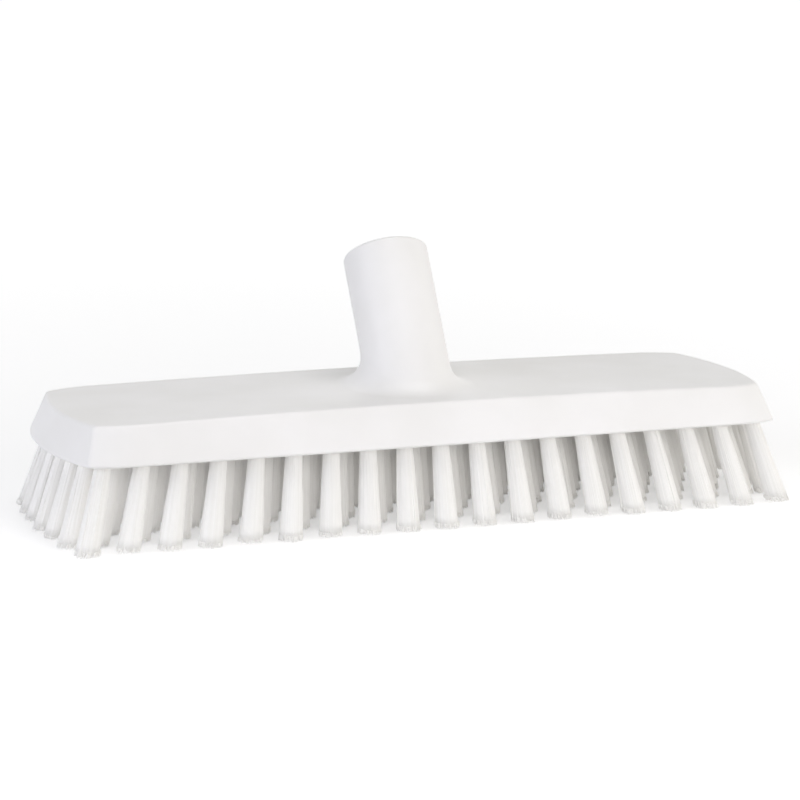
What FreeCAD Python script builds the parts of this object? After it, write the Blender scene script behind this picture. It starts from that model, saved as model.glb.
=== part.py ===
import FreeCAD, Part
import math
import os
import re
import Sketcher
from FreeCAD import Placement, Rotation, Vector

# Scrub brush head. One moulded block carries a handle socket that leans backwards, and tufts that fan
# outwards are set in its underside, each held by a steel staple across the inner end of its hole.
# Frame: +X along the block, -Y the front, +Z up. The tuft tips stand on z = 0, under the block's middle.

# Rows of tufts, front to back. Every second row stands half a pitch aside and has one tuft more.
row_count = 7
outer_row_tufts = 19

driving_sizes = [
    ("base_length", 301.5, "underside of the block, end to end"),
    ("base_width", 97.0, "underside of the block, front to back"),
    ("base_corner_radius", 32.0, "plan radius by which the long faces turn in below"),
    ("base_corner_run", 22.5, "underside's end to where the long faces start to turn"),
    ("base_end_bulge", 9.5, "how far the underside's ends bow out"),
    ("end_slope", 7.9, "how far each end wall slopes in"),
    ("side_slope", 6.7, "how far each long wall slopes in"),
    ("top_corner_radius", 34.0, "plan radius by which the long faces turn in above"),
    ("top_corner_run", 23.0, "top's end to where the long faces start to turn"),
    ("top_end_bulge", 6.8, "how far the top's ends bow out"),
    ("block_height", 16.2, "underside to the middle of the crowned top"),
    ("crown_drop", 1.6, "fall of the top from the middle to the ends"),
    ("crease_rounding", 2.5, "plan radius of the crease between a corner and an end"),
    ("top_rounding", 1.6, "radius round the top's edge"),
    ("base_rounding", 0.8, "radius round the underside's edge"),
    ("bristle_reach", 33.0, "tuft tips to the underside"),
    ("socket_radius", 17.25, "outside of the handle socket"),
    ("socket_length", 58.2, "along the socket, block top to mouth"),
    ("socket_lean", 31.4, "degrees that the socket leans back"),
    ("socket_advance", 5.3, "socket axis in front of the middle, on the block's top"),
    ("socket_blend", 10.0, "fillet round the socket's foot"),
    ("rim_rounding", 1.8, "outer edge of the socket's mouth"),
    ("bore_radius", 10.8, "crests of the handle thread"),
    ("bore_depth", 45.0, "mouth to the flat end of the bore"),
    ("bore_chamfer", 1.8, "lead-in at the mouth"),
    ("thread_pitch", 5.0, "turn to turn of the handle thread"),
    ("thread_depth", 1.3, "crest to groove floor"),
    ("thread_crest", 2.0, "groove width at the crests"),
    ("thread_floor", 1.0, "groove width at its floor"),
    ("thread_start", 4.0, "first turn below the mouth"),
    ("thread_run", 32.0, "length of the threaded stretch"),
    ("end_margin", 15.75, "underside's end to the last tuft of the front and back rows"),
    ("side_margin", 9.5, "underside's front or back edge to the nearest row"),
    ("end_bow", 4.5, "how far the rows' ends bow out, from the outer rows to the middle one"),
    ("hole_radius", 3.3, "tuft hole"),
    ("hole_depth", 11.0, "tuft hole, along its axis"),
    ("end_lean", 15.5, "degrees of lean of the front and back rows' last tufts"),
    ("side_lean", 13.8, "degrees of lean of the front and back rows"),
    ("tuft_clearance", 0.1, "tuft root to the wall of its hole"),
    ("tip_gap", 1.0, "gap that the tufts leave between the two outermost tips of a row"),
    ("flare_start", 1.2, "how far below the block the tuft starts to spread"),
    ("staple_thickness", 0.5, "anchor strip"),
    ("staple_height", 2.0, "anchor strip, along the hole"),
    ("staple_bite", 0.7, "how far the strip bites into the wall on each side"),
    ("staple_seat", 1.2, "fold of the filaments between strip and hole end"),
    ("overrun", 2.0, "how far cutting shapes run past what they cut"),
    ("pick_margin", 0.05, "how closely an edge's place is told"),
]

derived_sizes = [
    ("top_length", "=base_length - 2 * end_slope", "top outline, end to end"),
    ("top_width", "=base_width - 2 * side_slope", "top outline, front to back"),
]

doc = FreeCAD.newDocument("scrub_brush")
sheet = doc.addObject("Spreadsheet::Sheet", "sizes")
for line, (name, value, note) in enumerate(driving_sizes + derived_sizes, start=1):
    sheet.set(f"A{line}", name)
    sheet.set(f"B{line}", str(value))
    sheet.setAlias(f"B{line}", name)
    sheet.set(f"C{line}", note)
doc.recompute()


def size(name):
    return float(sheet.get(name))


def bind(thing, path, formula):
    # Words in the formula that name a driving size become references to its cell.
    known = {name for name, value, note in driving_sizes + derived_sizes}

    def cell(word):
        return f"sizes.{word[0]}" if word[0] in known else word[0]

    thing.setExpression(path, re.sub(r"[a-z_]+", cell, formula))


def plane(body, role):
    return next(f for f in body.Origin.OriginFeatures if f.Role == role)


def attach(feature, body, role):
    feature.AttachmentSupport = (plane(body, role), [""])
    feature.MapMode = "FlatFace"


def constrain(sketch, formula, *arguments):
    # Adds a dimension to a sketch and binds it to the sheet.
    index = sketch.addConstraint(Sketcher.Constraint(*arguments))
    bind(sketch, f"Constraints[{index}]", formula)


def outline_sketch(body, level, height_formula):
    # Plan outline at one level: two straight long faces that turn in through wide corners, and bowed
    # ends that meet the corners in a rounded crease.
    half_width = size(f"{level}_width") / 2
    corner = size(f"{level}_corner_radius")
    crease = size("crease_rounding")
    bulge = size(f"{level}_end_bulge")
    end_radius = (half_width**2 + bulge**2) / (2 * bulge)
    apex = size(f"{level}_length") / 2
    end_x = apex - end_radius
    corner_x = apex - size(f"{level}_corner_run")
    corner_y = half_width - corner

    # The crease's arc touches the end's arc and the corner's arc from inside.
    end_arm = end_radius - crease
    corner_arm = corner - crease
    apart = math.hypot(corner_x - end_x, corner_y)
    tilt = math.atan2(corner_y, corner_x - end_x)
    along = (end_arm**2 - corner_arm**2 + apart**2) / (2 * apart)
    end_angle = tilt + math.acos(along / end_arm)
    crease_x = end_x + end_arm * math.cos(end_angle)
    crease_y = end_arm * math.sin(end_angle)
    turn_angle = math.atan2(crease_y - corner_y, crease_x - corner_x)

    sketch = body.newObject("Sketcher::SketchObject", f"{level}_outline")
    attach(sketch, body, "XY_Plane")
    bind(sketch, "AttachmentOffset.Base.z", height_formula)

    def arc(x, y, r, start, end):
        circle = Part.Circle(Vector(x, y, 0), Vector(0, 0, 1), r)
        return Part.ArcOfCircle(circle, start, end)

    turn = math.pi
    quarter = turn / 2
    ring = range(12)
    front, front_right, right_front, right_end, right_back, back_right = ring[:6]
    back, back_left, left_back, left_end, left_front, front_left = ring[6:]
    right_apex = len(ring)
    sketch.addGeometry(Part.LineSegment(Vector(-corner_x, -half_width, 0), Vector(corner_x, -half_width, 0)))
    sketch.addGeometry(arc(corner_x, -corner_y, corner, -quarter, -turn_angle))
    sketch.addGeometry(arc(crease_x, -crease_y, crease, -turn_angle, -end_angle))
    sketch.addGeometry(arc(end_x, 0, end_radius, -end_angle, end_angle))
    sketch.addGeometry(arc(crease_x, crease_y, crease, end_angle, turn_angle))
    sketch.addGeometry(arc(corner_x, corner_y, corner, turn_angle, quarter))
    sketch.addGeometry(Part.LineSegment(Vector(corner_x, half_width, 0), Vector(-corner_x, half_width, 0)))
    sketch.addGeometry(arc(-corner_x, corner_y, corner, quarter, turn - turn_angle))
    sketch.addGeometry(arc(-crease_x, crease_y, crease, turn - turn_angle, turn - end_angle))
    sketch.addGeometry(arc(-end_x, 0, end_radius, turn - end_angle, turn + end_angle))
    sketch.addGeometry(arc(-crease_x, -crease_y, crease, turn + end_angle, turn + turn_angle))
    sketch.addGeometry(arc(-corner_x, -corner_y, corner, turn + turn_angle, turn + quarter))
    sketch.addGeometry(Part.Point(Vector(apex, 0, 0)), True)

    for before, after in zip(ring, list(ring[1:]) + [front]):
        sketch.addConstraint(Sketcher.Constraint("Tangent", before, 2, after, 1))
    for face in (front, back):
        sketch.addConstraint(Sketcher.Constraint("Horizontal", face))
    sketch.addConstraint(Sketcher.Constraint("PointOnObject", right_apex, 1, -1))
    sketch.addConstraint(Sketcher.Constraint("PointOnObject", right_apex, 1, right_end))
    sketch.addConstraint(Sketcher.Constraint("Equal", right_end, left_end))
    for other in (right_back, left_back, left_front):
        sketch.addConstraint(Sketcher.Constraint("Equal", right_front, other))
    for other in (back_right, back_left, front_left):
        sketch.addConstraint(Sketcher.Constraint("Equal", front_right, other))
    sketch.addConstraint(Sketcher.Constraint("Symmetric", right_front, 3, left_front, 3, -2))
    sketch.addConstraint(Sketcher.Constraint("Symmetric", right_front, 3, right_back, 3, -1))
    sketch.addConstraint(Sketcher.Constraint("Symmetric", left_front, 3, left_back, 3, -1))

    half = f"{level}_width / 2"
    end = f"{level}_length / 2"
    constrain(sketch, half, "DistanceY", front, 1, -1, 1, half_width)
    constrain(sketch, half, "DistanceY", -1, 1, back, 1, half_width)
    constrain(sketch, end, "DistanceX", -1, 1, right_apex, 1, apex)
    constrain(sketch, f"{end} - {level}_corner_run", "DistanceX", -1, 1, front, 2, corner_x)
    constrain(sketch, f"{level}_corner_radius", "Radius", front_right, corner)
    constrain(sketch, "crease_rounding", "Radius", right_front, crease)
    bulge_formula = f"(({half})^2 + {level}_end_bulge^2) / (2 * {level}_end_bulge)"
    constrain(sketch, bulge_formula, "Radius", right_end, end_radius)
    return sketch


def crown_cut(body):
    # Takes the top down along a long arc, highest in the middle of the block. The cut reaches past
    # the top and the underside, whichever is the larger.
    half_length = size("top_length") / 2
    drop = size("crown_drop")
    radius = (half_length**2 + drop**2) / (2 * drop)
    top = size("bristle_reach") + size("block_height")
    reach = half_length + size("base_length") / 2
    sweep = math.asin(reach / radius)
    shoulder = top - radius + math.sqrt(radius**2 - reach**2)
    ceiling = top + size("overrun")

    sketch = body.newObject("Sketcher::SketchObject", "crown_profile")
    attach(sketch, body, "XZ_Plane")
    circle = Part.Circle(Vector(0, top - radius, 0), Vector(0, 0, 1), radius)
    arc, right, lid, left, summit = range(5)
    sketch.addGeometry(Part.ArcOfCircle(circle, math.pi / 2 - sweep, math.pi / 2 + sweep))
    sketch.addGeometry(Part.LineSegment(Vector(reach, ceiling, 0), Vector(reach, shoulder, 0)))
    sketch.addGeometry(Part.LineSegment(Vector(-reach, ceiling, 0), Vector(reach, ceiling, 0)))
    sketch.addGeometry(Part.LineSegment(Vector(-reach, shoulder, 0), Vector(-reach, ceiling, 0)))
    sketch.addGeometry(Part.Point(Vector(0, top, 0)), True)
    sketch.addConstraint(Sketcher.Constraint("Coincident", right, 2, arc, 1))
    sketch.addConstraint(Sketcher.Constraint("Coincident", arc, 2, left, 1))
    sketch.addConstraint(Sketcher.Constraint("Coincident", left, 2, lid, 1))
    sketch.addConstraint(Sketcher.Constraint("Coincident", lid, 2, right, 1))
    sketch.addConstraint(Sketcher.Constraint("Vertical", right))
    sketch.addConstraint(Sketcher.Constraint("Symmetric", lid, 1, lid, 2, -2))
    sketch.addConstraint(Sketcher.Constraint("Symmetric", arc, 1, arc, 2, -2))
    sketch.addConstraint(Sketcher.Constraint("PointOnObject", summit, 1, -2))
    sketch.addConstraint(Sketcher.Constraint("PointOnObject", summit, 1, arc))
    constrain(sketch, "bristle_reach + block_height", "DistanceY", -1, 1, summit, 1, top)
    constrain(sketch, "overrun", "DistanceY", summit, 1, lid, 2, ceiling - top)
    constrain(sketch, "top_length / 2 + base_length / 2", "DistanceX", summit, 1, lid, 2, reach)
    formula = "((top_length / 2)^2 + crown_drop^2) / (2 * crown_drop)"
    constrain(sketch, formula, "Radius", arc, radius)

    cut = body.newObject("PartDesign::Pocket", "crown")
    cut.Profile = sketch
    cut.SideType = "Symmetric"
    bind(cut, "Length", "base_width + top_width")
    return cut


def lean_along_socket(feature, distance_formula):
    # Places a feature on the socket's axis, at a distance from where the axis meets the block's top.
    feature.AttachmentOffset = Placement(Vector(0, 0, 0), Rotation(Vector(-1, 0, 0), size("socket_lean")))
    bind(feature, "AttachmentOffset.Rotation.Angle", "socket_lean")
    along = f"({distance_formula})"
    bind(feature, "AttachmentOffset.Base.y", f"{along} * sin(socket_lean) - socket_advance")
    height = "bristle_reach + block_height"
    bind(feature, "AttachmentOffset.Base.z", f"{height} + {along} * cos(socket_lean)")


def socket_cylinder(body, kind, name, start_formula, length_formula, radius_formula):
    feature = body.newObject(kind, name)
    attach(feature, body, "XY_Plane")
    lean_along_socket(feature, start_formula)
    bind(feature, "Radius", radius_formula)
    bind(feature, "Height", length_formula)
    return feature


def sole_trim(body):
    # Levels the foot of the leaning socket with the block's underside.
    sketch = body.newObject("Sketcher::SketchObject", "sole_patch")
    attach(sketch, body, "XY_Plane")
    bind(sketch, "AttachmentOffset.Base.z", "bristle_reach")
    reach = size("socket_radius") + size("socket_length") / 2
    circle = Part.Circle(Vector(0, 0, 0), Vector(0, 0, 1), reach)
    sketch.addGeometry(circle)
    sketch.addConstraint(Sketcher.Constraint("Coincident", 0, 3, -1, 1))
    constrain(sketch, "socket_radius + socket_length / 2", "Radius", 0, reach)
    cut = body.newObject("PartDesign::Pocket", "sole")
    cut.Profile = sketch
    bind(cut, "Length", "socket_radius + socket_length / 2")
    return cut


def dress_edges(body, kind, name, size_path, size_name, wanted):
    # Fillets or chamfers the edges of the body's present shape that the test function picks.
    base = body.Tip
    names = [f"Edge{i}" for i, edge in enumerate(base.Shape.Edges, start=1) if wanted(edge)]
    dressing = body.newObject(kind, name)
    dressing.Base = (base, names)
    bind(dressing, size_path, size_name)
    body.Tip = dressing
    doc.recompute()


def middle(edge):
    return edge.valueAt((edge.FirstParameter + edge.LastParameter) / 2)


def thread_cut(body):
    # Coarse groove that winds up the bore's wall. Its profile stands in the plane of the socket's lean.
    inner = size("bore_radius") - size("thread_depth") / 2
    crest = size("bore_radius")
    floor = crest + size("thread_depth")
    wide = size("thread_crest") / 2
    narrow = size("thread_floor") / 2
    centre = size("socket_length") - size("thread_start") - size("thread_run")

    sketch = body.newObject("Sketcher::SketchObject", "thread_profile")
    attach(sketch, body, "YZ_Plane")
    sketch.AttachmentOffset = Placement(Vector(0, 0, 0), Rotation(Vector(0, 0, -1), size("socket_lean")))
    bind(sketch, "AttachmentOffset.Rotation.Angle", "socket_lean")
    bind(sketch, "AttachmentOffset.Base.x", "0 - socket_advance")
    bind(sketch, "AttachmentOffset.Base.y", "bristle_reach + block_height")
    corners = [
        Vector(inner, centre - wide, 0),
        Vector(crest, centre - wide, 0),
        Vector(floor, centre - narrow, 0),
        Vector(floor, centre + narrow, 0),
        Vector(crest, centre + wide, 0),
        Vector(inner, centre + wide, 0),
    ]
    count = len(corners)
    for i, corner in enumerate(corners):
        sketch.addGeometry(Part.LineSegment(corner, corners[(i + 1) % count]))
    for i in range(count):
        sketch.addConstraint(Sketcher.Constraint("Coincident", i, 2, (i + 1) % count, 1))
    sketch.addConstraint(Sketcher.Constraint("Horizontal", 0))
    sketch.addConstraint(Sketcher.Constraint("Vertical", 2))
    sketch.addConstraint(Sketcher.Constraint("Horizontal", 4))
    sketch.addConstraint(Sketcher.Constraint("Vertical", 5))
    constrain(sketch, "bore_radius - thread_depth / 2", "DistanceX", -1, 1, 0, 1, inner)
    constrain(sketch, "bore_radius", "DistanceX", -1, 1, 0, 2, crest)
    constrain(sketch, "bore_radius", "DistanceX", -1, 1, 4, 1, crest)
    constrain(sketch, "bore_radius + thread_depth", "DistanceX", -1, 1, 2, 1, floor)
    height = "socket_length - thread_start - thread_run"
    constrain(sketch, f"{height} - thread_crest / 2", "DistanceY", -1, 1, 0, 1, centre - wide)
    constrain(sketch, f"{height} - thread_floor / 2", "DistanceY", -1, 1, 2, 1, centre - narrow)
    constrain(sketch, "thread_floor", "DistanceY", 2, 1, 2, 2, 2 * narrow)
    constrain(sketch, "thread_crest", "DistanceY", 0, 2, 4, 1, 2 * wide)
    doc.recompute()

    groove = body.newObject("PartDesign::SubtractiveHelix", "handle_thread")
    groove.Profile = sketch
    groove.ReferenceAxis = (sketch, ["V_Axis"])
    groove.Mode = "pitch-height-angle"
    bind(groove, "Pitch", "thread_pitch")
    bind(groove, "Height", "thread_run")
    body.Tip = groove
    doc.recompute()


def make_moulding():
    body = doc.addObject("PartDesign::Body", "moulding")
    base = outline_sketch(body, "base", "bristle_reach")
    top = outline_sketch(body, "top", "bristle_reach + block_height")
    walls = body.newObject("PartDesign::AdditiveLoft", "walls")
    walls.Profile = base
    walls.Sections = [top]
    walls.Ruled = True
    doc.recompute()
    crown_cut(body)
    doc.recompute()

    near = size("pick_margin")
    low = size("bristle_reach")
    high = low + size("block_height")
    lean = math.radians(size("socket_lean"))
    foot = Vector(0, -size("socket_advance"), high)
    along = Vector(0, math.sin(lean), math.cos(lean))

    def is_top_edge(edge):
        return edge.BoundBox.ZMin > high - size("block_height") / 2

    def is_base_edge(edge):
        return edge.BoundBox.ZMax < low + near

    def is_foot(edge):
        # The ring where the leaning socket enters the crowned top.
        beside = (middle(edge) - foot).Length < 2 * size("socket_radius")
        return beside and edge.BoundBox.ZMin > low + near and edge.BoundBox.ZMax < high + near

    def is_rim(edge):
        return (middle(edge) - foot).dot(along) > size("socket_length") - near

    def is_bore_mouth(edge):
        reach = middle(edge) - foot
        off_axis = reach - along * reach.dot(along)
        return is_rim(edge) and off_axis.Length < size("bore_radius") + near

    dress_edges(body, "PartDesign::Fillet", "top_edge", "Radius", "top_rounding", is_top_edge)

    embed = "socket_radius * tan(socket_lean) + overrun"
    length = f"socket_length + {embed}"
    socket_cylinder(body, "PartDesign::AdditiveCylinder", "socket", f"0 - ({embed})", length, "socket_radius")
    doc.recompute()
    sole_trim(body)
    doc.recompute()
    dress_edges(body, "PartDesign::Fillet", "base_edge", "Radius", "base_rounding", is_base_edge)
    dress_edges(body, "PartDesign::Fillet", "socket_foot", "Radius", "socket_blend", is_foot)
    dress_edges(body, "PartDesign::Fillet", "socket_rim", "Radius", "rim_rounding", is_rim)

    start = "socket_length - bore_depth"
    length = "bore_depth + overrun"
    socket_cylinder(body, "PartDesign::SubtractiveCylinder", "bore", start, length, "bore_radius")
    doc.recompute()
    dress_edges(body, "PartDesign::Chamfer", "lead_in", "Size", "bore_chamfer", is_bore_mouth)
    thread_cut(body)
    return body


def field_reach():
    # How far the corners of the tuft field lie from the middle of the underside.
    reach_x = size("base_length") / 2 - size("end_margin")
    reach_y = size("base_width") / 2 - size("side_margin")
    return reach_x, reach_y


def tuft_pitch():
    return 2 * field_reach()[0] / (outer_row_tufts - 1)


def row_place(row):
    # A row's distance from the middle, and how far out its last tufts stand.
    reach_x, reach_y = field_reach()
    share = 2 * row / (row_count - 1) - 1
    return share * reach_y, reach_x + size("end_bow") * (1 - share**2)


def tip_radius():
    # The fan moves the tips apart, and the last two tufts of the second row stand closest.
    reach_x = field_reach()[0]
    fan = size("bristle_reach") * math.tan(math.radians(size("end_lean"))) / reach_x
    closest = (row_place(1)[1] - reach_x + tuft_pitch() / 2) * (1 + fan)
    return (closest - size("tip_gap")) / 2


def tuft_places():
    # Each tuft's column, row and root, which is the middle of its hole in the underside. Columns are
    # counted from the left end, rows from the front.
    places = []
    for row in range(row_count):
        aside = row % 2
        tufts = outer_row_tufts + aside
        y, end_x = row_place(row)
        for i in range(tufts):
            x = (i - (tufts - 1) / 2) * tuft_pitch()
            if i in (0, tufts - 1):
                x = math.copysign(end_x, x)
            column = 2 * i + 1 - aside
            places.append((column, row, Vector(x, y, size("bristle_reach"))))
    return places


def tuft_axis(root):
    # Points from the tips into the block. The lean grows evenly from the middle outwards.
    reach_x, reach_y = field_reach()
    lean_x = root.x / reach_x * math.tan(math.radians(size("end_lean")))
    lean_y = root.y / reach_y * math.tan(math.radians(size("side_lean")))
    axis = Vector(-lean_x, -lean_y, 1)
    axis.normalize()
    return axis


def lean_with_tuft(shape, root):
    shape.Placement = Placement(root, Rotation(Vector(0, 0, 1), tuft_axis(root)))
    return shape


def hole_shape(root):
    start = Vector(0, 0, -size("overrun"))
    hole = Part.makeCylinder(size("hole_radius"), size("hole_depth") + size("overrun"), start)
    return lean_with_tuft(hole, root)


def staple_shape(root):
    # A flat strip across the hole, with both ends in the wall.
    length = 2 * (size("hole_radius") + size("staple_bite"))
    thickness = size("staple_thickness")
    height = size("staple_height")
    foot = size("hole_depth") - size("staple_seat") - height
    corner = Vector(-length / 2, -thickness / 2, foot)
    return lean_with_tuft(Part.makeBox(length, thickness, height, corner), root)


def tuft_shape(root, floor):
    # A bundle that fills its hole, spreads below the block and is trimmed level at the tips.
    root_radius = size("hole_radius") - size("tuft_clearance")
    reach = size("bristle_reach") / tuft_axis(root).z
    spread = (tip_radius() - root_radius) / (reach - size("flare_start"))
    beyond = reach + tip_radius()
    profile = [
        Vector(0, 0, size("hole_depth")),
        Vector(root_radius, 0, size("hole_depth")),
        Vector(root_radius, 0, -size("flare_start")),
        Vector(root_radius + spread * (beyond - size("flare_start")), 0, -beyond),
        Vector(0, 0, -beyond),
    ]
    face = Part.Face(Part.makePolygon(profile + profile[:1]))
    bundle = lean_with_tuft(face.revolve(Vector(0, 0, 0), Vector(0, 0, 1), 360), root)
    return bundle.cut([floor, staple_shape(root)])


def add_group(label, shapes):
    # A node of separate solids that each lean their own way, which no pattern can give.
    group = doc.addObject("Part::Feature", label)
    group.Label = label
    group.Shape = Part.makeCompound(shapes)
    group.Placement = Placement()
    return group


def cut_from(base, tool, label):
    cut = doc.addObject("Part::Cut", label)
    cut.Label = label
    cut.Base = base
    cut.Tool = tool
    return cut


def make_block(places):
    roots = [root for column, row, root in places]
    moulding = make_moulding()
    holes = add_group("tuft_holes", [hole_shape(root) for root in roots])
    slots = add_group("staple_slots", [staple_shape(root) for root in roots])
    drilled = cut_from(moulding, holes, "drilled_block")
    return cut_from(drilled, slots, "brush_block")


def make_tufts(places):
    width = size("base_length") + size("base_width")
    depth = size("bristle_reach")
    floor = Part.makeBox(2 * width, 2 * width, depth, Vector(-width, -width, -depth))
    columns = {}
    for column, row, root in places:
        columns.setdefault(column, []).append(tuft_shape(root, floor))
    return [add_group(f"tuft_column_{c + 1:02d}", columns[c]) for c in sorted(columns)]


def make_staples(places):
    rows = {}
    for column, row, root in places:
        rows.setdefault(row, []).append(staple_shape(root))
    return [add_group(f"staple_row_{r + 1}", rows[r]) for r in sorted(rows)]


def check(pieces):
    failed = [o.Name for o in doc.Objects if "Invalid" in o.State or "Error" in o.State]
    failed += [p.Label for p in pieces if p.Shape.isNull() or not p.Shape.isValid() or not p.Shape.Solids]
    if failed:
        raise RuntimeError("failed: " + ", ".join(failed))


places = tuft_places()
pieces = [make_block(places)] + make_tufts(places) + make_staples(places)
doc.recompute()
check(pieces)
os.makedirs("parts", exist_ok=True)
for piece in pieces:
    piece.Shape.exportStep(f"parts/{piece.Label}.step")
print(len(pieces), "nodes,", len(places), "tufts, block volume", round(pieces[0].Shape.Volume))
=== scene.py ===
import math
import bpy
import numpy as np
from mathutils import Matrix, Vector


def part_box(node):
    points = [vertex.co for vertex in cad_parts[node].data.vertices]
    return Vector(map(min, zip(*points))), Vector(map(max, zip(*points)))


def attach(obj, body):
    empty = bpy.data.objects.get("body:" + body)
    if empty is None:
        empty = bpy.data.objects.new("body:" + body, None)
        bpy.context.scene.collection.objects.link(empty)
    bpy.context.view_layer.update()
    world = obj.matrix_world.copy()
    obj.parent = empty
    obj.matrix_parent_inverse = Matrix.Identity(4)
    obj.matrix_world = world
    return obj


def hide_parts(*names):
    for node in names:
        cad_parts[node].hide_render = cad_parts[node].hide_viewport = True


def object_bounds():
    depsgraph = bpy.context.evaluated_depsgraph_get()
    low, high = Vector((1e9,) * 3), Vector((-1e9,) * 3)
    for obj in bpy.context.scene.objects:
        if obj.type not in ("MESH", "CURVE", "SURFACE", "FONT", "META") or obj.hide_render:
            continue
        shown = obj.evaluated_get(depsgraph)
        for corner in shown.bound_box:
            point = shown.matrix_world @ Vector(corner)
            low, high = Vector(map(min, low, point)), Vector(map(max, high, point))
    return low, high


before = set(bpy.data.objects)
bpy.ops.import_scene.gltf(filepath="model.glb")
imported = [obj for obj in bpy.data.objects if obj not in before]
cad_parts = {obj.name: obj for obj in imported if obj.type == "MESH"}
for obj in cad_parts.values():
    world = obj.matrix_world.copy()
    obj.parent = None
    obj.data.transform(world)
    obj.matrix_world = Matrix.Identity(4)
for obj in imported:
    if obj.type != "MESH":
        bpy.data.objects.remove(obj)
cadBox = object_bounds()
scene = bpy.context.scene
scene.view_settings.view_transform = "Standard"
mm = 0.001
print("frame loaded:", len(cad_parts), "nodes")


def linear(hexColour):  # sRGB hex to the linear values that shaders and lamps take
    channels = [int(hexColour[i:i + 2], 16) / 255 for i in (1, 3, 5)]
    return [c / 12.92 if c <= 0.04045 else ((c + 0.055) / 1.055) ** 2.4 for c in channels]


def addNode(tree, kind, inputs=None, **settings):  # an input is a value, or a socket to link
    node = tree.nodes.new(kind)
    for name, value in settings.items():
        setattr(node, name, value)
    for name, value in (inputs or {}).items():
        if isinstance(value, bpy.types.NodeSocket):
            tree.links.new(value, node.inputs[name])
        else:
            node.inputs[name].default_value = value
    return node


def newMaterial(name):
    material = bpy.data.materials.new(name)
    material.use_nodes = True
    material.node_tree.nodes.clear()
    return material, material.node_tree


def perMetre(millimetres):  # scale of a texture whose features are this far apart
    return 1 / (millimetres * mm)


# Moulded polypropylene: white, dense and a little waxy. The tool's spark-eroded skin leaves a fine
# grain, and the thick wall cools unevenly, so broad faces are never quite flat or evenly dull.
polypropylene = {
    "white": "#F4F3F2",
    "flowWhite": "#EFEEEC",
    "ior": 1.49,
    "roughLow": 0.34,
    "roughHigh": 0.46,
    "grainPitch": 0.7,  # mm, really about 0.2, drawn coarser so that it shows
    "grainDepth": 0.012,  # mm
    "grainSpan": (0.3, 0.7),  # part of the grain's range over which the dullness changes
    "sinkPitch": 26.0,  # mm
    "sinkDepth": 0.05,  # mm
    "flowPitch": 40.0,  # mm
    "flowSpan": (0.35, 0.65),  # part of the flow marks' range over which the white changes
}


def mouldedPolypropylene():
    p = polypropylene
    material, tree = newMaterial("whitePolypropyleneMoulded")
    place = addNode(tree, "ShaderNodeTexCoord").outputs["Object"]
    marks = {}
    for mark, detail in (("flow", 3.0), ("grain", 2.0), ("sink", 1.0)):
        noise = addNode(tree, "ShaderNodeTexNoise", {
            "Vector": place, "Scale": perMetre(p[f"{mark}Pitch"]), "Detail": detail})
        marks[mark] = noise.outputs["Fac"]
    colour = addNode(tree, "ShaderNodeValToRGB", {"Fac": marks["flow"]})
    for end, position, white in zip(colour.color_ramp.elements, p["flowSpan"], ("flowWhite", "white")):
        end.position = position
        end.color = linear(p[white]) + [1]
    rough = addNode(tree, "ShaderNodeMapRange", {
        "Value": marks["grain"], "From Min": p["grainSpan"][0], "From Max": p["grainSpan"][1],
        "To Min": p["roughLow"], "To Max": p["roughHigh"]})
    broad = addNode(tree, "ShaderNodeBump", {
        "Height": marks["sink"], "Distance": p["sinkDepth"] * mm, "Strength": 1.0})
    fine = addNode(tree, "ShaderNodeBump", {
        "Height": marks["grain"], "Distance": p["grainDepth"] * mm, "Strength": 1.0,
        "Normal": broad.outputs["Normal"]})
    skin = addNode(tree, "ShaderNodeBsdfPrincipled", {
        "Base Color": colour.outputs["Color"], "Roughness": rough.outputs["Result"],
        "IOR": p["ior"], "Normal": fine.outputs["Normal"]})
    addNode(tree, "ShaderNodeOutputMaterial", {"Surface": skin.outputs["BSDF"]})
    return material


# Drawn polyester filament: white, smooth along its length and a little see-through. No two strands
# take quite the same white, and faint draw lines run along each of them. Light gets far in between the
# strands, so to shadow rays a tuft is nearly clear, and the rows behind stay pale.
polyester = {
    "white": "#F6F5F2",
    "cream": "#F1F0EC",
    "ior": 1.57,
    "roughness": 0.36,
    "lightThrough": 0.99,  # share of a lamp's light that each surface lets by
    "drawLinePitch": 0.25,  # mm across the strand
    "drawLineDepth": 0.006,  # mm
    "drawLineShare": 0.04,  # width of a line, of its length
}


def drawnPolyester():
    p = polyester
    material, tree = newMaterial("whitePolyesterFilamentDrawn")
    tone = addNode(tree, "ShaderNodeAttribute", attribute_name="strandTone")
    place = addNode(tree, "ShaderNodeTexCoord").outputs["Object"]
    along = addNode(tree, "ShaderNodeMapping", {"Vector": place, "Scale": (1, 1, p["drawLineShare"])})
    lines = addNode(tree, "ShaderNodeTexNoise", {
        "Vector": along.outputs["Vector"], "Scale": perMetre(p["drawLinePitch"]), "Detail": 1.0})
    colour = addNode(tree, "ShaderNodeValToRGB", {"Fac": tone.outputs["Fac"]})
    colour.color_ramp.elements[0].color = linear(p["cream"]) + [1]
    colour.color_ramp.elements[1].color = linear(p["white"]) + [1]
    drawn = addNode(tree, "ShaderNodeBump", {
        "Height": lines.outputs["Fac"], "Distance": p["drawLineDepth"] * mm, "Strength": 1.0})
    strand = addNode(tree, "ShaderNodeBsdfPrincipled", {
        "Base Color": colour.outputs["Color"], "Roughness": p["roughness"], "IOR": p["ior"],
        "Normal": drawn.outputs["Normal"]})
    ray = addNode(tree, "ShaderNodeLightPath")
    through = addNode(tree, "ShaderNodeBsdfTransparent", {"Color": [p["lightThrough"]] * 3 + [1]})
    both = addNode(tree, "ShaderNodeMixShader", {
        0: ray.outputs["Is Shadow Ray"], 1: strand.outputs["BSDF"], 2: through.outputs["BSDF"]})
    addNode(tree, "ShaderNodeOutputMaterial", {"Surface": both.outputs["Shader"]})
    return material


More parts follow.
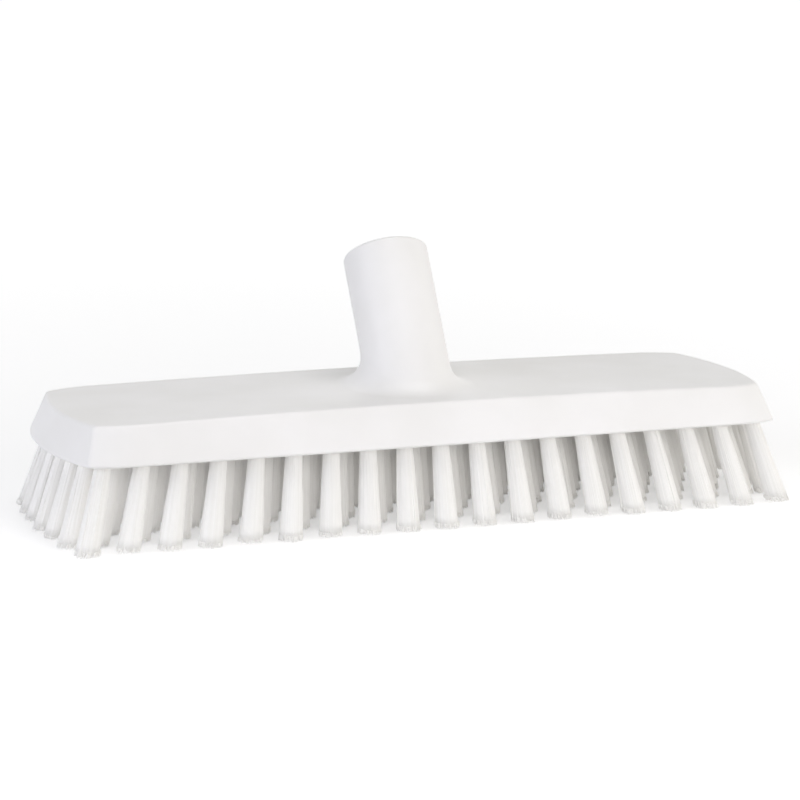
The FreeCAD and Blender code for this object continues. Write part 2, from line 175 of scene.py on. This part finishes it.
# Rolled stainless strip: grey, bright, with fine lines along the rolling direction.
stainless = {
    "grey": "#C9C8C6",
    "roughLow": 0.22,
    "roughHigh": 0.38,
    "linePitch": 0.12,  # mm
    "lineShare": 0.03,  # width of a line, of its length
}


def rolledStainless():
    p = stainless
    material, tree = newMaterial("stainlessStripRolled")
    place = addNode(tree, "ShaderNodeTexCoord").outputs["Object"]
    along = addNode(tree, "ShaderNodeMapping", {"Vector": place, "Scale": (p["lineShare"], 1, 1)})
    lines = addNode(tree, "ShaderNodeTexNoise", {
        "Vector": along.outputs["Vector"], "Scale": perMetre(p["linePitch"]), "Detail": 2.0})
    rough = addNode(tree, "ShaderNodeMapRange", {
        "Value": lines.outputs["Fac"], "To Min": p["roughLow"], "To Max": p["roughHigh"]})
    strip = addNode(tree, "ShaderNodeBsdfPrincipled", {
        "Base Color": linear(p["grey"]) + [1], "Metallic": 1.0, "Roughness": rough.outputs["Result"]})
    addNode(tree, "ShaderNodeOutputMaterial", {"Surface": strip.outputs["BSDF"]})
    return material


def dressNode(node, material):
    for holder in node.material_slots:
        holder.material = material


steel = rolledStainless()
dressNode(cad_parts["brush_block"], mouldedPolypropylene())
for name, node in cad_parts.items():
    if name.startswith("staple_row"):
        dressNode(node, steel)
print("block and staples dressed")

# The field of tufts, in the places of the CAD solids. Every second row stands half a pitch aside and has
# one tuft more. The rows' ends lie on a shallow bow, and every tuft leans away from the middle.
tuftField = {
    "rows": 7,
    "outerRowTufts": 19,
    "tuftPitch": 15.0,  # mm
    "rowPitch": 13.0,  # mm
    "endBow": 4.5,  # mm
    "endLean": 15.5,  # degrees, last tufts of the front and back rows
    "sideLean": 13.8,  # degrees, front and back rows
}

# A tuft is packed so tight that its strands show one by one only at the tips, and where a few stray.
# Further up it is one bundle, with a rib for each strand of its skin.
tuft = {
    "rootRadius": 3.2,  # mm, at the hole
    "tipRadius": 4.75,  # mm
    "inHole": 3.0,  # mm of the bundle inside the block
    "skinStrands": 56,
    "skinDepth": 0.3,  # mm, how far a strand sinks into the skin along its length
    "sinkLeastShare": 0.2,  # the least that a strand sinks, of that depth
    "weaveTurns": 1.3,  # how often it sinks and comes up again
    "unevenShare": 0.3,  # how far ribs stand from even spacing, of the spacing
    "driftShare": 0.1,  # how far a rib drifts sideways on its way down, of the spacing
    "ribShare": 0.35,  # depth between two ribs, of their spacing
    "shoulderShare": 0.2,  # drop half way down a rib, of that depth
    "bundleStop": 1.0,  # mm short of the tips
    "bundleShares": (0.0, 0.12, 0.3, 0.5, 0.7, 0.88, 1.0),  # rings along the free length
    "strandRadius": 0.27,  # mm
    "strandSides": 5,
    "innerStrands": 90,
    "tipRun": 2.6,  # mm of each single strand at the tips
    "tipShares": (0.0, 0.9, 1.0),
    "strayStrands": 2,
    "strayShares": (0.0, 0.16, 0.38, 0.62, 0.86, 0.985, 1.0),
    "endShare": 0.6,  # radius of a strand's rounded end
    "trimLeast": 0.15,  # mm, clear of the floor
    "trimTuft": 0.9,  # mm, how much whole tufts differ in trimmed length
    "trimStrand": 0.9,  # mm, how much strands differ in a tuft
    "sway": 0.25,  # mm, sideways bow of single strands
    "stray": 0.4,  # mm, scatter of the tips
}


def tuftPlaces():  # column number, root and direction towards the tips
    f = tuftField
    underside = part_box("brush_block")[0].z
    lastX = (f["outerRowTufts"] - 1) / 2 * f["tuftPitch"] * mm
    lastY = (f["rows"] - 1) / 2 * f["rowPitch"] * mm
    places = []
    for row in range(f["rows"]):
        aside = row % 2
        tufts = f["outerRowTufts"] + aside
        y = row * f["rowPitch"] * mm - lastY
        endX = lastX + f["endBow"] * mm * (1 - (y / lastY) ** 2)
        for i in range(tufts):
            x = (i - (tufts - 1) / 2) * f["tuftPitch"] * mm
            if i in (0, tufts - 1):
                x = math.copysign(endX, x)
            leanX = x / lastX * math.tan(math.radians(f["endLean"]))
            leanY = y / lastY * math.tan(math.radians(f["sideLean"]))
            column = 2 * i + 2 - aside
            places.append((column, np.array((x, y, underside)), np.array((leanX, leanY, -1.0))))
    return places


def addTubes(bundle, middles, angle, radii, tones):  # closed tubes of level rings round their middle points
    count, rings, _ = middles.shape
    sides = angle.shape[-1]
    spoke = np.stack([np.cos(angle), np.sin(angle), 0 * angle], axis=-1)
    points = middles[:, :, None, :] + np.broadcast_to(radii, (count, rings, sides))[..., None] * spoke
    first = sum(len(p) for p in bundle["points"])
    number = first + np.arange(count * rings * sides).reshape(count, rings, sides)
    beside = np.roll(number, -1, axis=2)
    walls = np.stack([number[:, 1:], beside[:, 1:], beside[:, :-1], number[:, :-1]], axis=-1)
    bundle["points"].append(points.reshape(-1, 3))
    bundle["tones"].append(np.broadcast_to(tones, (count, rings, sides)).ravel())
    bundle["walls"] += walls.reshape(-1, 4).tolist()
    bundle["ends"] += number[:, 0].tolist() + number[:, -1, ::-1].tolist()


def tuftPoints(root, lean, run, spread):  # places at a share of the free length, spread out from the axis
    level = np.concatenate([spread, 0 * spread[..., :1]], axis=-1)
    return root + lean * (run * root[2])[..., None] + level


def addStrands(bundle, root, lean, disc, firstRun, shares, tuftTrim, rng):
    t = tuft
    count = len(disc)
    reach = root[2]
    trim = tuftTrim + np.abs(rng.normal(0, t["trimStrand"] * mm / 2, count))
    stray = rng.normal(0, t["stray"] * mm / 2, disc.shape)
    sway = rng.normal(0, t["sway"] * mm / 2, disc.shape)
    lastRun = 1 - trim / reach
    free = np.array(shares)[None, :] * (lastRun - max(firstRun, 0))[:, None] + max(firstRun, 0)
    run = free if firstRun >= 0 else np.concatenate([np.full((count, 1), firstRun), free], axis=1)
    out = np.clip(run, 0, 1)[..., None]
    spread = disc[:, None] * (t["rootRadius"] + (t["tipRadius"] - t["rootRadius"]) * out) * mm
    spread = spread + stray[:, None] * out + sway[:, None] * np.sin(np.pi * out)
    angle = np.arange(t["strandSides"]) * 2 * math.pi / t["strandSides"]
    radii = np.full((run.shape[1], t["strandSides"]), t["strandRadius"] * mm)
    radii[-1] *= t["endShare"]
    addTubes(bundle, tuftPoints(root, lean, run, spread), angle, radii, rng.uniform(0, 1, (count, 1, 1)))


def addBundle(bundle, root, lean, turn, tuftTrim, rng):
    t = tuft
    ribs = len(turn)
    reach = root[2]
    lastRun = 1 - (tuftTrim + t["bundleStop"] * mm) / reach
    run = np.concatenate([[-t["inHole"] * mm / reach], np.array(t["bundleShares"]) * lastRun])
    out = np.clip(run, 0, 1)[:, None]
    radius = (t["rootRadius"] + (t["tipRadius"] - t["rootRadius"]) * out) * mm
    weave = np.sin(rng.uniform(0, 2 * math.pi, ribs) + 2 * math.pi * t["weaveTurns"] * out)
    crest = radius - t["skinDepth"] * mm * rng.uniform(t["sinkLeastShare"], 1, ribs) * (1 + weave) / 2
    valley = (crest + np.roll(crest, 1, axis=1)) / 2 - t["ribShare"] * 2 * math.pi * radius / ribs
    nextValley = np.roll(valley, -1, axis=1)
    low = t["shoulderShare"]
    shoulder = crest * (1 - low) + valley * low
    nextShoulder = crest * (1 - low) + nextValley * low
    radii = np.stack([valley, shoulder, crest, nextShoulder], axis=-1)
    middle = turn + rng.normal(0, t["driftShare"], ribs) * 2 * math.pi / ribs * np.sin(np.pi * out)
    before = (middle + np.roll(middle, 1, axis=1)) / 2
    before[:, 0] -= math.pi
    after = np.roll(before, -1, axis=1)
    after[:, -1] += 2 * math.pi
    angle = np.stack([before, (before + middle) / 2, middle, (middle + after) / 2], axis=-1)
    tones = np.repeat(rng.uniform(0, 1, ribs), angle.shape[-1])
    axis = tuftPoints(root, lean, run, np.zeros((1, len(run), 2)))
    addTubes(bundle, axis, angle.reshape(len(run), -1), radii.reshape(len(run), -1), tones)


def addTuft(bundle, root, lean, rng):
    t = tuft
    tuftTrim = (t["trimLeast"] + rng.uniform(0, t["trimTuft"])) * mm
    holeRun = -t["inHole"] * mm / root[2]
    tipRun = 1 - t["tipRun"] * mm / root[2]
    ribs = t["skinStrands"]
    uneven = rng.uniform(-t["unevenShare"], t["unevenShare"], ribs)
    turn = (np.arange(ribs) + uneven) * 2 * math.pi / ribs
    addBundle(bundle, root, lean, turn, tuftTrim, rng)
    skin = np.stack([np.cos(turn), np.sin(turn)], axis=1) * (1 - t["strandRadius"] / t["tipRadius"])
    addStrands(bundle, root, lean, skin, tipRun, t["tipShares"], tuftTrim, rng)
    number = np.arange(t["innerStrands"])
    spot = np.sqrt((number + 0.5) / t["innerStrands"]) * (1 - 2 * t["strandRadius"] / t["tipRadius"])
    goldenAngle = math.pi * (3 - math.sqrt(5))  # spreads the strands evenly over the disc
    turn = number * goldenAngle + rng.uniform(0, 2 * math.pi)
    inner = np.stack([spot * np.cos(turn), spot * np.sin(turn)], axis=1)
    addStrands(bundle, root, lean, inner, tipRun, t["tipShares"], tuftTrim, rng)
    strays = skin[rng.choice(ribs, t["strayStrands"], replace=False)]
    addStrands(bundle, root, lean, strays, holeRun, t["strayShares"], tuftTrim, rng)


def makeTufts(material):
    columns = {}
    for column, root, lean in tuftPlaces():
        columns.setdefault(column, []).append((root, lean))
    for column in sorted(columns):
        rng = np.random.default_rng(column)
        bundle = {"points": [], "tones": [], "walls": [], "ends": []}
        for root, lean in columns[column]:
            addTuft(bundle, root, lean, rng)
        mesh = bpy.data.meshes.new(f"bristles_{column:02d}")
        mesh.from_pydata(np.concatenate(bundle["points"]).tolist(), [], bundle["walls"] + bundle["ends"])
        tones = mesh.attributes.new("strandTone", "FLOAT", "POINT")
        tones.data.foreach_set("value", np.concatenate(bundle["tones"]))
        smooth = [True] * len(bundle["walls"]) + [False] * len(bundle["ends"])
        mesh.polygons.foreach_set("use_smooth", smooth)
        mesh.materials.append(material)
        bristles = bpy.data.objects.new(f"bristles_{column:02d}", mesh)
        scene.collection.objects.link(bristles)
        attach(bristles, "root")
        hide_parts(f"tuft_column_{column:02d}")


makeTufts(drawnPolyester())
print("tufts made")

# Camera, from a fit to the photograph's block, socket and tufts
viewpoint = {
    "aim": (0.0, 0.0, 49.2),  # mm, middle of the block's top
    "left": 20.49,  # degrees round to the left of the front
    "up": 10.46,  # degrees
    "roll": 0.31,  # degrees
    "distance": 1175.5,  # mm
    "lens": 131.9,  # mm on a 36 mm sensor
    "shift": (-0.007, -0.0212),
    "farthest": 100,  # m, still drawn
}


def makeCamera():
    v = viewpoint
    left, up, roll = (math.radians(v[k]) for k in ("left", "up", "roll"))
    back = Vector((-math.sin(left) * math.cos(up), -math.cos(left) * math.cos(up), math.sin(up)))
    right = Vector((0, 0, 1)).cross(back).normalized()
    above = back.cross(right)
    rightRolled = right * math.cos(roll) + above * math.sin(roll)
    aboveRolled = above * math.cos(roll) - right * math.sin(roll)
    turned = Matrix((rightRolled, aboveRolled, back)).transposed().to_4x4()
    lens = bpy.data.cameras.new("camera")
    lens.lens = v["lens"]
    lens.shift_x, lens.shift_y = v["shift"]
    lens.clip_end = v["farthest"]
    camera = bpy.data.objects.new("camera", lens)
    camera.matrix_world = Matrix.Translation(Vector(v["aim"]) * mm + back * v["distance"] * mm) @ turned
    scene.collection.objects.link(camera)
    scene.camera = camera


makeCamera()

# Studio: white paper floor, a faint surround, and large soft lamps, most of them low and in front
studio = {
    "floorSize": 40.0,  # m
    "floorDrop": 0.2,  # mm below the tips
    "paper": "#F2F2F2",
    "liftNear": 0.36,  # white that the camera sees added, little where the brush's shadow falls
    "liftFar": 0.9,  # and more where the lamps no longer reach
    "liftStart": 0.15,  # m from the brush's middle
    "liftEnd": 1.4,  # m
    "surround": "#F7F8FA",
    "surroundStrength": 0.12,
    "lamps": {
        "key": {"place": (0.75, -1.1, 0.25), "width": 0.9, "power": 8.9, "colour": "#FFFCFB"},
        "front": {"place": (-0.42, -1.13, 0.2), "width": 0.5, "power": 1.2, "colour": "#FFFCFB"},
        "left": {"place": (-1.2, -0.35, 0.25), "width": 0.9, "power": 9.0, "colour": "#F2F4FF"},
        "overhead": {"place": (0.0, -0.2, 1.4), "width": 1.2, "power": 8.9, "colour": "#FFFEFD"},
        "right": {"place": (1.2, -0.2, 0.3), "width": 0.9, "power": 2.6, "colour": "#FFFEFA"},
        "back": {"place": (0.3, 1.2, 0.5), "width": 1.2, "power": 0.6, "colour": "#FFFDF2"},
    },
}


def seenRays(tree):  # 1 for what the camera sees, straight or in a mirror or glass
    ray = addNode(tree, "ShaderNodeLightPath").outputs
    mirrored = addNode(tree, "ShaderNodeMath", {
        0: ray["Is Camera Ray"], 1: ray["Is Glossy Ray"]}, operation="MAXIMUM")
    seen = addNode(tree, "ShaderNodeMath", {
        0: mirrored.outputs[0], 1: ray["Is Transmission Ray"]}, operation="MAXIMUM")
    return seen.outputs[0]


def makeFloor():
    p = studio
    material, tree = newMaterial("whitePaperFloor")
    place = addNode(tree, "ShaderNodeTexCoord").outputs["Object"]
    away = addNode(tree, "ShaderNodeVectorMath", {0: place}, operation="LENGTH")
    white = addNode(tree, "ShaderNodeMapRange", {
        "Value": away.outputs["Value"], "From Min": p["liftStart"], "From Max": p["liftEnd"],
        "To Min": p["liftNear"], "To Max": p["liftFar"]})
    lift = addNode(tree, "ShaderNodeMath", {
        0: seenRays(tree), 1: white.outputs["Result"]}, operation="MULTIPLY")
    matt = addNode(tree, "ShaderNodeBsdfDiffuse", {"Color": linear(p["paper"]) + [1]})
    glow = addNode(tree, "ShaderNodeEmission", {"Color": (1, 1, 1, 1), "Strength": lift.outputs[0]})
    both = addNode(tree, "ShaderNodeAddShader", {0: matt.outputs[0], 1: glow.outputs[0]})
    addNode(tree, "ShaderNodeOutputMaterial", {"Surface": both.outputs[0]})
    half = p["floorSize"] / 2
    mesh = bpy.data.meshes.new("floor")
    corners = [(-half, -half, 0), (half, -half, 0), (half, half, 0), (-half, half, 0)]
    mesh.from_pydata(corners, [], [(0, 1, 2, 3)])
    mesh.materials.append(material)
    floor = bpy.data.objects.new("floor", mesh)
    floor.location.z = cadBox[0][2] - p["floorDrop"] * mm
    scene.collection.objects.link(floor)


def makeSurround():
    p = studio
    world = bpy.data.worlds.new("surround")
    scene.world = world
    world.use_nodes = True
    tree = world.node_tree
    tree.nodes.clear()
    light = addNode(tree, "ShaderNodeBackground", {
        "Color": linear(p["surround"]) + [1], "Strength": p["surroundStrength"]})
    white = addNode(tree, "ShaderNodeBackground", {"Color": (1, 1, 1, 1), "Strength": 1.0})
    both = addNode(tree, "ShaderNodeMixShader", {0: seenRays(tree), 1: light.outputs[0], 2: white.outputs[0]})
    addNode(tree, "ShaderNodeOutputWorld", {"Surface": both.outputs[0]})


def makeLamp(name):
    p = studio["lamps"][name]
    lamp = bpy.data.lights.new(name, "AREA")
    lamp.size = p["width"]
    lamp.energy = p["power"]
    lamp.color = linear(p["colour"])
    holder = bpy.data.objects.new(name, lamp)
    holder.location = p["place"]
    aim = Vector(viewpoint["aim"]) * mm - Vector(p["place"])
    holder.rotation_euler = aim.to_track_quat("-Z", "Y").to_euler()
    scene.collection.objects.link(holder)


makeFloor()
makeSurround()
for lampName in studio["lamps"]:
    makeLamp(lampName)
print("studio set")
